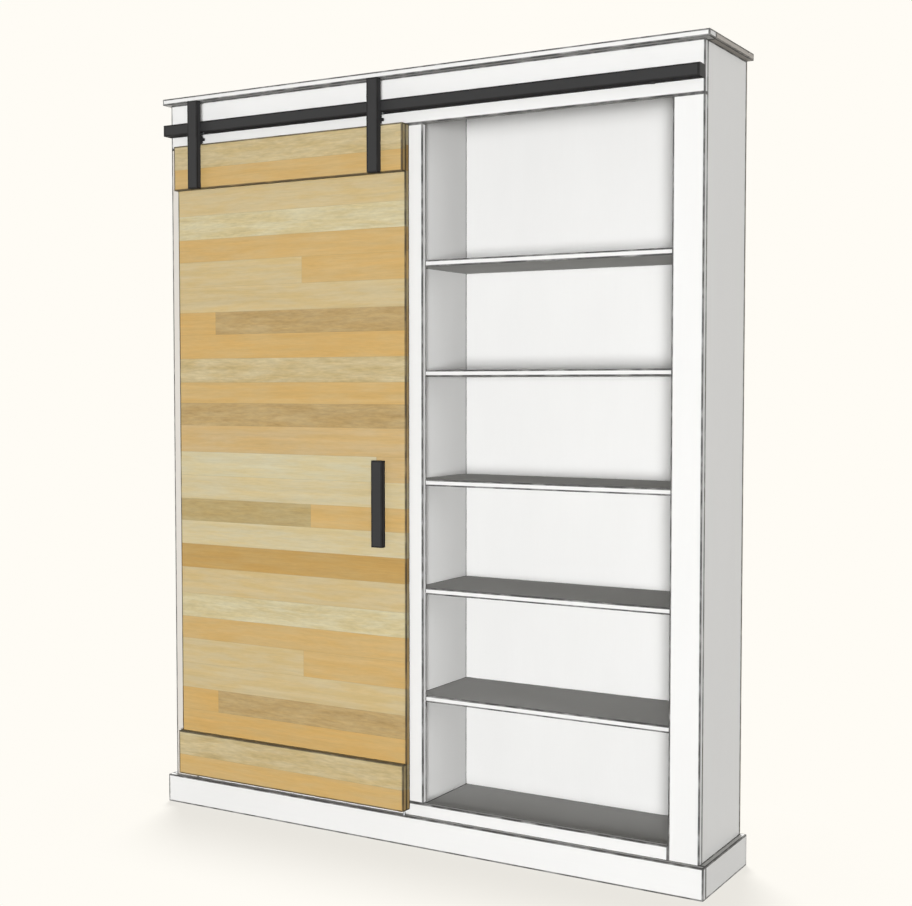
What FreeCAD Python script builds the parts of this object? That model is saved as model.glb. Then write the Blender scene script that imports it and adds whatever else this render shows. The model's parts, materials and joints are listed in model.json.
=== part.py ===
import FreeCAD, Part
import os
from types import SimpleNamespace

import Sketcher

# Barn door cabinet: two open bays of shelves behind a face frame, and one door that slides in front of them.
# The door hangs by two straps from trolleys that roll inside a box track on the header.
# Millimetres. Seen from the front, +X is to the right, +Y to the back and +Z up.
# The origin is on the floor, in the middle of the whole object.

SIZES = {
    # Carcass
    "cabinet_width": 1816.0,
    "cabinet_height": 2286.0,
    "board_thickness": 19.0,
    "side_depth": 298.5,
    "back_thickness": 6.4,
    "shelf_pitch": 321.0,
    "housing_depth": 6.0,
    "housing_play": 0.2,
    "edge_ease": 1.0,
    # Top and base
    "top_overhang": 19.0,
    "top_strip_depth": 46.0,
    "base_height": 89.0,
    "base_thickness": 19.0,
    # Face frame
    "stile_width": 89.0,
    "header_height": 140.0,
    "rail_height": 89.0,
    "rail_lip": 19.0,
    "dowel_radius": 4.0,
    "dowel_length": 40.0,
    "dowel_play": 0.1,
    # Wall rails
    "wall_rail_height": 64.0,
    "wall_hole_spacing": 406.4,
    "wall_hole_radius": 3.25,
    # Wood screws
    "top_screw_radius": 2.5,
    "top_screw_length": 50.0,
    "top_screw_inset": 40.0,
    "back_screw_radius": 1.75,
    "back_screw_length": 25.0,
    "trim_screw_radius": 2.0,
    "trim_screw_length": 32.0,
    "screw_play": 0.15,
    # Track
    "track_depth": 38.0,
    "track_height": 35.0,
    "track_wall": 2.5,
    "track_slot": 12.0,
    "track_corner": 1.5,
    "track_cap": 3.0,
    "cap_plug": 15.0,
    "cap_play": 0.3,
    "stud_end_inset": 98.0,
    "stud_middle_inset": 150.0,
    "stud_tail": 4.0,
    # Bolts and nuts of track and trolleys
    "bolt_radius": 4.0,
    "bolt_play": 0.1,
    "nut_radius": 7.5,
    "nut_height": 6.5,
    "washer_radius": 8.0,
    "washer_thickness": 1.6,
    # Door
    "door_gap": 2.5,
    "door_overlap": 44.5,
    "door_floor_gap": 17.0,
    "panel_thickness": 19.0,
    "trim_thickness": 19.0,
    "trim_height": 140.0,
    # Hanger straps
    "hanger_width": 38.0,
    "hanger_thickness": 19.0,
    "hanger_inset": 73.0,
    "hanger_rise": 62.5,
    "hanger_clearance": 2.5,
    "lug_width": 20.0,
    "lug_thickness": 8.0,
    "lug_reach": 9.0,
    "lug_gap": 4.0,
    "bolt_tail": 3.0,
    "tail_gap": 5.5,
    # Trolleys
    "wheel_head_room": 3.7,
    "wheel_gap": 0.3,
    "wheel_side_gap": 0.5,
    "wheel_play": 0.05,
    "wheel_chamfer": 1.0,
    "axle_radius": 4.0,
    "axle_head_radius": 6.0,
    "axle_head": 1.5,
    "axle_head_gap": 1.5,
    "block_thickness": 9.0,
    "block_drop": 3.0,
    "block_rise": 9.0,
    "block_overhang": 2.0,
    "block_web": 3.0,
    # Travel stops in the track
    "stop_length": 20.0,
    "stop_gap": 0.5,
    "stop_play": 1.0,
    "stop_screw_radius": 3.0,
    "stop_screw_head": 3.0,
    "stop_screw_head_radius": 8.0,
    "stop_screw_grip": 12.0,
    # Guide pin and its groove in the door
    "pin_radius": 3.0,
    "pin_root": 25.0,
    "pin_flange": 1.5,
    "pin_flange_radius": 6.0,
    "pin_top_gap": 4.0,
    "groove_depth": 18.0,
    "groove_play": 0.5,
    "groove_end": 9.0,
    "groove_spare": 2.0,
    # Handle
    "handle_width": 38.0,
    "handle_thickness": 19.0,
    "handle_length": 258.0,
    "handle_middle": 1015.0,
    "handle_screw_inset": 40.0,
    # Machine screws of straps and handle
    "machine_screw_radius": 3.0,
    "machine_head_radius": 5.25,
    "machine_head": 3.3,
    "machine_grip": 12.0,
    "counterbore_radius": 7.0,
    "counterbore_depth": 6.0,
}

SHELVES = 5
TRIM_SCREWS = 5
HEADER_SCREWS = 4

# How far a cut runs past the face that it opens
OVERRUN = 1.0

# Shares of a fastener's own radius or head
HEAD_SPREAD = 2.0
END_CHAMFER = 0.25
DRIVE_RADIUS = 0.75
DRIVE_DEPTH = 0.6
WOOD_DRIVE_DEPTH = 0.8

# Where the strap screws stand, as shares of the top trim's height
STRAP_SCREW_SHARES = (0.25, 0.75)

ALONG_Z = FreeCAD.Rotation()
DOWNWARDS = FreeCAD.Rotation(FreeCAD.Vector(1, 0, 0), 180)
TO_FRONT = FreeCAD.Rotation(FreeCAD.Vector(1, 0, 0), 90)
TO_BACK = FreeCAD.Rotation(FreeCAD.Vector(1, 0, 0), -90)
TO_RIGHT = FreeCAD.Rotation(FreeCAD.Vector(0, 1, 0), 90)


class Size:
    """A length worked out from the sheet: its formula for expressions, and its value."""

    def __init__(self, formula, value):
        self.formula = formula
        self.value = value

    def __add__(self, other):
        other = as_size(other)
        return Size(f"({self.formula} + {other.formula})", self.value + other.value)

    def __sub__(self, other):
        other = as_size(other)
        return Size(f"({self.formula} - {other.formula})", self.value - other.value)

    def __mul__(self, factor):
        return Size(f"({self.formula} * {factor:g})", self.value * factor)

    def __truediv__(self, divisor):
        return Size(f"({self.formula} / {divisor:g})", self.value / divisor)

    def __neg__(self):
        return self * -1


def as_size(number):
    return number if isinstance(number, Size) else Size(f"{number:g}", number)


def larger(one, other):
    return Size(f"max({one.formula}; {other.formula})", max(one.value, other.value))


def smaller(one, other):
    return Size(f"min({one.formula}; {other.formula})", min(one.value, other.value))


doc = FreeCAD.newDocument("barn_door_cabinet")
sheet = doc.addObject("Spreadsheet::Sheet", "sizes")
for row, (alias, number) in enumerate(SIZES.items(), start=1):
    sheet.set(f"A{row}", str(number))
    sheet.setAlias(f"A{row}", alias)
doc.recompute()
size = SimpleNamespace(**{alias: Size(f"sizes.{alias}", sheet.get(alias)) for alias in SIZES})

# Heights
top_low = size.cabinet_height - size.board_thickness
header_low = top_low - size.header_height
rail_top = size.base_height + size.board_thickness + size.rail_lip
rail_low = rail_top - size.rail_height
shelf_tops = [rail_top + size.shelf_pitch * number for number in range(1, SHELVES + 1)]
shelf_lows = [top - size.board_thickness for top in shelf_tops]
door_low = size.base_height + size.door_floor_gap
door_top = header_low
trim_low = door_top - size.trim_height
bolt_low = door_top + size.tail_gap
lug_low = bolt_low + size.bolt_tail + size.nut_height
lug_top = lug_low + size.lug_thickness
block_low = lug_top + size.nut_height + size.lug_gap
track_low = block_low + size.block_drop
track_top = track_low + size.track_height
track_middle = track_low + size.track_height / 2
lip_top = track_low + size.track_wall
cavity_height = size.track_height - size.track_wall * 2
wheel_radius = (cavity_height - size.wheel_gap - size.wheel_head_room) / 2
axle_height = lip_top + size.wheel_gap + wheel_radius
bolt_top = axle_height - size.axle_radius - size.block_web
strap_top = track_top + size.hanger_rise

# Depths: the door clears the track's front with its straps, and the face frame with its back
door_stack = size.panel_thickness + size.trim_thickness
strap_back = larger(size.track_depth + size.hanger_clearance, size.door_gap + door_stack)
front_reach = strap_back + size.hanger_thickness
back_reach = size.board_thickness + size.side_depth + size.back_thickness
face = (front_reach - back_reach) / 2
carcass_front = face + size.board_thickness
carcass_back = carcass_front + size.side_depth
rear = carcass_back + size.back_thickness
frame_middle = face + size.board_thickness / 2
top_front = face - size.top_overhang
strip_back = top_front + size.top_strip_depth
trim_front = face - strap_back
panel_front = trim_front + size.trim_thickness
door_back = panel_front + size.panel_thickness
panel_middle = panel_front + size.panel_thickness / 2
track_centre = face - size.track_depth / 2
cavity_half = size.track_depth / 2 - size.track_wall
wheel_inner = size.block_thickness / 2 + size.wheel_side_gap
axle_half = cavity_half - size.axle_head_gap
wheel_outer = axle_half - size.axle_head - size.wheel_side_gap

# Widths
half_width = size.cabinet_width / 2
half_top = half_width + size.top_overhang
half_stile = size.stile_width / 2
half_board = size.board_thickness / 2
outer_stile = half_width - size.stile_width
side_middle = half_width - half_board
door_left = size.door_overlap * -1 - outer_stile
door_right = size.door_overlap - half_stile
door_width = door_right - door_left
strap_inset = size.hanger_inset + size.hanger_width / 2
block_half = wheel_radius + size.block_overhang
pin_x = door_right - size.groove_end - size.groove_spare - size.pin_radius
door_travel = door_width - (size.groove_end + size.groove_spare + size.pin_radius) * 2
STRAPS = {"left": door_left + strap_inset, "right": door_right - strap_inset}
BAYS = {"left": (-side_middle + half_board, -half_board), "right": (half_board, side_middle - half_board)}

pieces = {}
cuts = {}


def bind(obj, **sizes):
    for name, length in sizes.items():
        obj.setExpression(name, as_size(length).formula)


def place(obj, spot, turn=ALONG_Z):
    obj.Placement = FreeCAD.Placement(FreeCAD.Vector(), turn)
    for axis, length in zip("xyz", spot):
        obj.setExpression(f"Placement.Base.{axis}", as_size(length).formula)


def keep(label, piece):
    """Make an object one of the sub-parts, which later cuts can name."""
    pieces[label] = piece
    cuts[label] = []
    return piece


def block(name, low, high):
    """A plain box between its lowest and highest corners."""
    box = doc.addObject("Part::Box", name)
    lengths = [as_size(far) - near for near, far in zip(low, high)]
    bind(box, Length=lengths[0], Width=lengths[1], Height=lengths[2])
    place(box, low)
    return box


def board(name, low, high):
    """A box with all its edges eased."""
    eased = doc.addObject("Part::Fillet", name + "_eased")
    eased.Base = block(name + "_blank", low, high)
    radius = size.edge_ease.value
    eased.Edges = [(edge, radius, radius) for edge in range(1, 13)]
    return eased


def joined(name, base, tool):
    fuse = doc.addObject("Part::Fuse", name + "_joined")
    fuse.Base = base
    fuse.Tool = tool
    return fuse


def less(name, base, tool):
    cut = doc.addObject("Part::Cut", name + "_cut")
    cut.Base = base
    cut.Tool = tool
    return cut


def outline(body, plane, corners):
    """A closed outline on one of the body's origin planes, with each corner bound to its sizes."""
    sketch = body.newObject("Sketcher::SketchObject", body.Name + "_outline")
    origin_plane = next(part for part in body.Origin.OriginFeatures if part.Role == plane)
    sketch.AttachmentSupport = [(origin_plane, "")]
    sketch.MapMode = "FlatFace"
    points = [FreeCAD.Vector(as_size(across).value, as_size(up).value) for across, up in corners]
    for number, point in enumerate(points):
        sketch.addGeometry(Part.LineSegment(point, points[(number + 1) % len(points)]))
    for number in range(len(points)):
        following = (number + 1) % len(points)
        sketch.addConstraint(Sketcher.Constraint("Coincident", number, 2, following, 1))
    axes = {"DistanceX": -2, "DistanceY": -1}
    for number, corner in enumerate(corners):
        for kind, length in zip(axes, corner):
            if not isinstance(length, Size):
                sketch.addConstraint(Sketcher.Constraint("PointOnObject", number, 1, axes[kind]))
                continue
            name = f"{kind}_{number}"
            datum = sketch.addConstraint(Sketcher.Constraint(kind, -1, 1, number, 1, length.value))
            sketch.renameConstraint(datum, name)
            sketch.setExpression(f"Constraints.{name}", length.formula)
    return sketch


def turned(name, corners):
    """A solid turned about Z. Each corner is a radius and a height, and 0 is on the axis or the base."""
    body = doc.addObject("PartDesign::Body", name)
    profile = outline(body, "XZ_Plane", corners)
    turning = body.newObject("PartDesign::Revolution", name + "_turning")
    turning.Profile = profile
    turning.ReferenceAxis = (profile, ["V_Axis"])
    turning.Angle = 360
    return body


def rod(name, radius, length):
    """A round rod from its base up, with its far end chamfered."""
    chamfer = radius * END_CHAMFER
    shoulder = length - chamfer
    return turned(name, [(0, 0), (radius, 0), (radius, shoulder), (radius - chamfer, length), (0, length)])


def copies(name, model, spots, turn=ALONG_Z):
    """Copies of one model, as one group of separate solids."""
    links = []
    for spot in spots:
        link = doc.addObject("App::Link", name + "_copy")
        link.LinkedObject = model
        place(link, spot, turn)
        links.append(link)
    group = doc.addObject("Part::Compound", name + "_group")
    group.Links = links
    return group


def drill(tool, labels):
    for label in labels:
        cuts[label].append(tool)


def fasten(label, fastener, hole, spots, turn, through):
    """A group of fasteners and their holes in the pieces that they pass through."""
    keep(label, copies(label, fastener, spots, turn))
    drill(copies(label + "_holes", hole, spots, turn), through)


def socket(name, screw, radius, depth, seat=0):
    """A screw with a hexagonal drive in its head, whose face is at the height of the seat."""
    drive = doc.addObject("Part::Prism", name + "_drive")
    drive.Polygon = 6
    bind(drive, Circumradius=radius, Height=depth)
    place(drive, (0, 0, seat))
    return less(name, screw, drive)


def wood_screw(name, radius, length):
    """A countersunk screw that points along +Z from its head's face, and its hole."""
    head = radius * HEAD_SPREAD
    play = size.screw_play
    screw = turned(name, [(0, 0), (head, 0), (radius, radius), (radius, length - head), (0, length)])
    hole = turned(name + "_hole", [(0, 0), (head + play, 0), (radius + play, radius),
                                   (radius + play, length + play), (0, length + play)])
    return socket(name + "_driven", screw, radius, radius * WOOD_DRIVE_DEPTH), hole


def machine_screw(name, tip):
    """A screw whose head is sunk below the face where it enters, and its stepped hole."""
    seat = size.counterbore_depth
    head_face = seat - size.machine_head
    radius = size.machine_screw_radius
    bore = radius + size.screw_play
    screw = turned(name, [(0, head_face), (size.machine_head_radius, head_face),
                          (size.machine_head_radius, seat), (radius, seat), (radius, tip), (0, tip)])
    hole = turned(name + "_hole", [(0, 0), (size.counterbore_radius, 0), (size.counterbore_radius, seat),
                                   (bore, seat), (bore, tip + size.screw_play), (0, tip + size.screw_play)])
    drive_depth = size.machine_head * DRIVE_DEPTH
    return socket(name + "_driven", screw, radius * DRIVE_RADIUS, drive_depth, head_face), hole


def hex_nut(name):
    prism = doc.addObject("Part::Prism", name + "_hexagon")
    prism.Polygon = 6
    bind(prism, Circumradius=size.nut_radius, Height=size.nut_height)
    bore = doc.addObject("Part::Cylinder", name + "_bore")
    bind(bore, Radius=size.bolt_radius + size.bolt_play, Height=size.nut_height)
    return less(name, prism, bore)


def carcass():
    """Sides, partition, shelves and back panels, with the shelves housed in the uprights."""
    uprights = {
        "left_side": (-half_width, [-half_width + size.board_thickness - size.housing_depth]),
        "centre_partition": (-half_board, [-half_board - OVERRUN, half_board - size.housing_depth]),
        "right_side": (half_width - size.board_thickness, [half_width - size.board_thickness - OVERRUN]),
    }
    housing = block("housing", (0, 0, 0), (size.housing_depth + OVERRUN, size.side_depth + 2 * OVERRUN,
                                           size.board_thickness + size.housing_play))
    floors = [size.base_height] + shelf_lows
    for label, (left, housing_lefts) in uprights.items():
        low = (left, carcass_front, 0)
        high = (left + size.board_thickness, carcass_back, top_low)
        keep(label, board(label, low, high))
        spots = [(x, carcass_front - OVERRUN, floor) for x in housing_lefts for floor in floors]
        drill(copies(label + "_housings", housing, spots), [label])

    bite = size.housing_depth - size.housing_play
    for bay, (left, right) in BAYS.items():
        labels = [f"{bay}_bottom_shelf"] + [f"{bay}_shelf_{number}" for number in range(1, SHELVES + 1)]
        for label, floor in zip(labels, floors):
            low = (left - bite, carcass_front, floor)
            keep(label, board(label, low, (right + bite, carcass_back, floor + size.board_thickness)))
        rail_front = carcass_back - size.board_thickness
        rail = board(f"{bay}_wall_rail", (left, rail_front, top_low - size.wall_rail_height),
                     (right, carcass_back, top_low))
        keep(f"{bay}_wall_rail", rail)

    panels = {"left": (-half_width, 0), "right": (0, half_width)}
    for bay, (left, right) in panels.items():
        label = f"{bay}_back_panel"
        keep(label, block(label, (left, carcass_back, size.base_height), (right, rear, top_low)))


def face_frame():
    """Header over three stiles, with the bottom rail between the outer stiles."""
    header = ((-half_width, face, header_low), (half_width, carcass_front, top_low))
    keep("header_rail", board("header_rail", *header))
    stiles = {
        "left_stile": (-half_width, 0),
        "centre_stile": (-half_stile, rail_top),
        "right_stile": (outer_stile, 0),
    }
    for label, (left, foot) in stiles.items():
        low = (left, face, foot)
        keep(label, board(label, low, (left + size.stile_width, carcass_front, header_low)))
    rail = ((-outer_stile, face, rail_low), (outer_stile, carcass_front, rail_top))
    keep("bottom_rail", board("bottom_rail", *rail))

    hole_radius = size.dowel_radius + size.dowel_play
    chamfer = size.dowel_radius * END_CHAMFER
    dowel = turned("dowel", [(0, 0), (size.dowel_radius - chamfer, 0), (size.dowel_radius, chamfer),
                             (size.dowel_radius, size.dowel_length - chamfer),
                             (size.dowel_radius - chamfer, size.dowel_length), (0, size.dowel_length)])
    hole = doc.addObject("Part::Cylinder", "dowel_hole")
    bind(hole, Radius=hole_radius, Height=size.dowel_length + size.dowel_play)
    half_dowel = size.dowel_length / 2
    pair = [-size.stile_width / 4, size.stile_width / 4]
    middles = [-half_width + half_stile, as_size(0), half_width - half_stile]
    spots = [(middle + aside, frame_middle, header_low - half_dowel) for middle in middles for aside in pair]
    spots += [(aside, frame_middle, rail_top - half_dowel) for aside in pair]
    fasten("stile_dowels", dowel, hole, spots, ALONG_Z, ["header_rail", "bottom_rail", *stiles])
    rail_middle = rail_low + size.rail_height / 2
    ends = [(end - half_dowel, frame_middle, rail_middle) for end in (-outer_stile, outer_stile)]
    fasten("rail_dowels", dowel, hole, ends, TO_RIGHT, ["bottom_rail", "left_stile", "right_stile"])


def top_and_base():
    """Top board with its front strip, and the base boards, whose front covers the ends of the sides."""
    back_board = ((-half_top, strip_back, top_low), (half_top, rear, size.cabinet_height))
    keep("top_board", board("top_board", *back_board))
    strip = ((-half_top, top_front, top_low), (half_top, strip_back, size.cabinet_height))
    keep("top_front_strip", board("top_front_strip", *strip))
    half_base = half_width + size.base_thickness
    front = ((-half_base, face - size.base_thickness, 0), (half_base, face, size.base_height))
    keep("base_front", board("base_front", *front))
    for label, left in (("base_left", -half_base), ("base_right", half_width)):
        keep(label, board(label, (left, face, 0), (left + size.base_thickness, rear, size.base_height)))


def carcass_screws():
    """Screws down through the top, screws through the back panels, and the holes for wall screws."""
    screw, hole = wood_screw("top_screw", size.top_screw_radius, size.top_screw_length)
    ends = [strip_back + size.top_screw_inset, carcass_back - size.top_screw_inset * 2]
    spots = [(x, y, size.cabinet_height) for x in (-side_middle, as_size(0), side_middle) for y in ends]
    rail_middle = carcass_back - half_board
    for left, right in BAYS.values():
        bay_ends = (left + size.top_screw_inset, right - size.top_screw_inset)
        spots += [(x, rail_middle, size.cabinet_height) for x in bay_ends]
    header_spacing = size.cabinet_width / HEADER_SCREWS
    spots += [(-half_width + header_spacing * (number + 0.5), frame_middle, size.cabinet_height)
              for number in range(HEADER_SCREWS)]
    fasten("top_screws", screw, hole, spots, DOWNWARDS,
           ["top_board", "top_front_strip", "header_rail", "left_side", "centre_partition", "right_side",
            "left_wall_rail", "right_wall_rail"])

    screw, hole = wood_screw("back_screw", size.back_screw_radius, size.back_screw_length)
    columns = [-side_middle, -half_board / 2, half_board / 2, side_middle]
    between = (size.shelf_pitch - size.board_thickness) / 2
    above = smaller(between, (top_low - shelf_tops[-1]) / 2)
    heights = [low - between for low in shelf_lows] + [shelf_tops[-1] + above]
    spots = [(x, rear, height) for x in columns for height in heights]
    fasten("back_panel_screws", screw, hole, spots, TO_FRONT,
           ["left_back_panel", "right_back_panel", "left_side", "centre_partition", "right_side"])

    wall_hole = doc.addObject("Part::Cylinder", "wall_hole")
    bind(wall_hole, Radius=size.wall_hole_radius, Height=size.board_thickness + size.back_thickness)
    for bay, (left, right) in BAYS.items():
        middle = (left + right) / 2
        spots = [(middle + size.wall_hole_spacing * side / 2, rear, top_low - size.wall_rail_height / 2)
                 for side in (-1, 1)]
        holes = copies(f"{bay}_wall_holes", wall_hole, spots, TO_FRONT)
        drill(holes, [f"{bay}_wall_rail", f"{bay}_back_panel"])


def track():
    """Box track with a slot in its underside, end caps, studs at its back and the stops for the trolleys."""
    depth = size.track_depth
    height = size.track_height
    wall = size.track_wall
    half_slot = size.track_slot / 2
    middle = -depth / 2
    corners = [(middle + half_slot, 0), (0, 0), (0, height), (-depth, height), (-depth, 0),
               (middle - half_slot, 0), (middle - half_slot, wall), (-depth + wall, wall),
               (-depth + wall, height - wall), (-wall, height - wall), (-wall, wall),
               (middle + half_slot, wall)]
    half_tube = half_width - size.track_cap
    body = doc.addObject("PartDesign::Body", "track_tube")
    tube = body.newObject("PartDesign::Pad", "track_pad")
    tube.Profile = outline(body, "YZ_Plane", corners)
    bind(tube, Length=half_tube * 2)
    doc.recompute()
    outer = [FreeCAD.Vector(half_tube.value, y, z) for y in (0, -depth.value) for z in (0, height.value)]
    edges = [f"Edge{number}" for number, edge in enumerate(tube.Shape.Edges, start=1)
             if any(edge.CenterOfMass.isEqual(corner, size.track_corner.value / 10) for corner in outer)]
    rounded = body.newObject("PartDesign::Fillet", "track_corners")
    rounded.Base = (tube, edges)
    bind(rounded, Radius=size.track_corner)
    place(body, (-half_tube, face, track_low))
    keep("track", body)

    plug_half = cavity_half - size.cap_play
    plug_low = lip_top + size.cap_play
    plug_high = lip_top + cavity_height - size.cap_play
    ends = {
        "left": (-half_width, -half_tube, size.cap_plug),
        "right": (half_tube, half_width, -size.cap_plug),
    }
    for side, (left, right, plug) in ends.items():
        label = f"{side}_track_cap"
        flange = board(label, (left, face - depth, track_low), (right, face, track_top))
        flange_middle = (left + right) / 2
        reach = flange_middle + plug
        low_x, high_x = (flange_middle, reach) if plug.value > 0 else (reach, flange_middle)
        core = block(label + "_plug", (low_x, track_centre - plug_half, plug_low),
                     (high_x, track_centre + plug_half, plug_high))
        keep(label, joined(label, flange, core))

    outermost = half_width - size.stud_end_inset
    insets = [size.stud_middle_inset, (size.stud_middle_inset + outermost) / 2, outermost]
    stations = [-inset for inset in reversed(insets)] + insets
    stud_length = size.board_thickness + size.washer_thickness + size.nut_height + size.stud_tail
    stud = rod("stud", size.bolt_radius, stud_length)
    hole = doc.addObject("Part::Cylinder", "stud_hole")
    bind(hole, Radius=size.bolt_radius + size.bolt_play, Height=stud_length)
    spots = [(x, face, track_middle) for x in stations]
    fasten("track_studs", stud, hole, spots, TO_BACK, ["header_rail"])
    bore = size.bolt_radius + size.bolt_play
    washer = turned("washer", [(bore, 0), (size.washer_radius, 0),
                               (size.washer_radius, size.washer_thickness), (bore, size.washer_thickness)])
    spots = [(x, carcass_front, track_middle) for x in stations]
    keep("track_washers", copies("track_washers", washer, spots, TO_BACK))
    spots = [(x, carcass_front + size.washer_thickness, track_middle) for x in stations]
    keep("track_nuts", copies("track_nuts", hex_nut("track_nut"), spots, TO_BACK))


def track_stops():
    """Blocks that end the trolleys' travel, each clamped to the track's lips by a screw through the slot."""
    clear = block_half + size.stop_gap
    starts = {
        "left": STRAPS["left"] - clear - size.stop_length,
        "right": STRAPS["right"] + door_travel + clear,
    }
    half_stop = cavity_half - size.stop_play
    for side, left in starts.items():
        label = f"{side}_track_stop"
        low = (left, track_centre - half_stop, lip_top)
        high = (left + size.stop_length, track_centre + half_stop, lip_top + cavity_height - size.stop_play)
        keep(label, board(label, low, high))
    radius = size.stop_screw_radius
    head = size.stop_screw_head
    tip = head + size.track_wall + size.stop_screw_grip
    screw = turned("stop_screw", [(0, 0), (size.stop_screw_head_radius, 0),
                                  (size.stop_screw_head_radius, head), (radius, head), (radius, tip), (0, tip)])
    hole = doc.addObject("Part::Cylinder", "stop_screw_hole")
    bind(hole, Radius=radius + size.screw_play, Height=tip + size.screw_play)
    driven = socket("stop_screw_driven", screw, radius * DRIVE_RADIUS, head * DRIVE_DEPTH)
    spots = [(left + size.stop_length / 2, track_centre, track_low - head) for left in starts.values()]
    fasten("stop_screws", driven, hole, spots, ALONG_Z, ["left_track_stop", "right_track_stop"])


def guide():
    """Pin on the base's ledge that keeps the door's bottom edge in line."""
    top = size.door_floor_gap + size.groove_depth - size.pin_top_gap
    radius = size.pin_radius
    chamfer = radius * END_CHAMFER
    pin = turned("pin", [(0, -size.pin_root), (radius, -size.pin_root), (radius, 0),
                         (size.pin_flange_radius, 0), (size.pin_flange_radius, size.pin_flange),
                         (radius, size.pin_flange),
                         (radius, top - chamfer), (radius - chamfer, top), (0, top)])
    hole = doc.addObject("Part::Cylinder", "pin_hole")
    bind(hole, Radius=radius + size.screw_play, Height=size.pin_root + size.screw_play)
    spot = (pin_x, panel_middle, size.base_height)
    place(pin, spot)
    keep("guide_pin", pin)
    drill(copies("guide_pin_hole", hole, [spot], DOWNWARDS), ["base_front"])


def door():
    """Panel with a stopped groove in its bottom edge, two trim boards and the handle, screwed from behind."""
    panel = ((door_left, panel_front, door_low), (door_right, door_back, door_top))
    keep("door_panel", board("door_panel", *panel))
    half_groove = size.pin_radius + size.groove_play
    groove = block("groove", (door_left + size.groove_end, panel_middle - half_groove, door_low - OVERRUN),
                   (door_right - size.groove_end, panel_middle + half_groove, door_low + size.groove_depth))
    drill(groove, ["door_panel"])
    trims = {"door_top_trim": trim_low, "door_bottom_trim": door_low}
    for label, low in trims.items():
        corner = (door_left, trim_front, low)
        keep(label, board(label, corner, (door_right, panel_front, low + size.trim_height)))
    screw, hole = wood_screw("trim_screw", size.trim_screw_radius, size.trim_screw_length)
    spacing = door_width / (TRIM_SCREWS + 1)
    spots = [(door_left + spacing * number, door_back, low + size.trim_height / 2)
             for low in trims.values() for number in range(1, TRIM_SCREWS + 1)]
    fasten("trim_screws", screw, hole, spots, TO_FRONT, ["door_panel", *trims])

    half_handle = size.handle_width / 2
    half_length = size.handle_length / 2
    handle_x = STRAPS["right"]
    low = (handle_x - half_handle, panel_front - size.handle_thickness, size.handle_middle - half_length)
    high = (handle_x + half_handle, panel_front, size.handle_middle + half_length)
    keep("handle_bar", board("handle_bar", low, high))
    screw, hole = machine_screw("handle_screw", size.panel_thickness + size.machine_grip)
    offset = half_length - size.handle_screw_inset
    spots = [(handle_x, door_back, size.handle_middle + aside) for aside in (-offset, offset)]
    fasten("handle_screws", screw, hole, spots, TO_FRONT, ["door_panel", "handle_bar"])


def hangers():
    """Straps on the door's top trim, each with a lug that reaches under the track to its trolley's bolt."""
    half_strap = size.hanger_width / 2
    half_lug = size.lug_width / 2
    labels = []
    for side, middle in STRAPS.items():
        label = f"{side}_hanger"
        strap = board(label, (middle - half_strap, trim_front - size.hanger_thickness, trim_low),
                      (middle + half_strap, trim_front, strap_top))
        lug = block(label + "_lug", (middle - half_lug, trim_front - size.hanger_thickness / 2, lug_low),
                    (middle + half_lug, track_centre + size.lug_reach, lug_top))
        keep(label, joined(label, strap, lug))
        labels.append(label)
    screw, hole = machine_screw("hanger_screw", door_stack + size.machine_grip)
    heights = [trim_low + size.trim_height * share for share in STRAP_SCREW_SHARES]
    spots = [(middle, door_back, height) for middle in STRAPS.values() for height in heights]
    fasten("hanger_screws", screw, hole, spots, TO_FRONT, ["door_panel", "door_top_trim", *labels])


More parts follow.
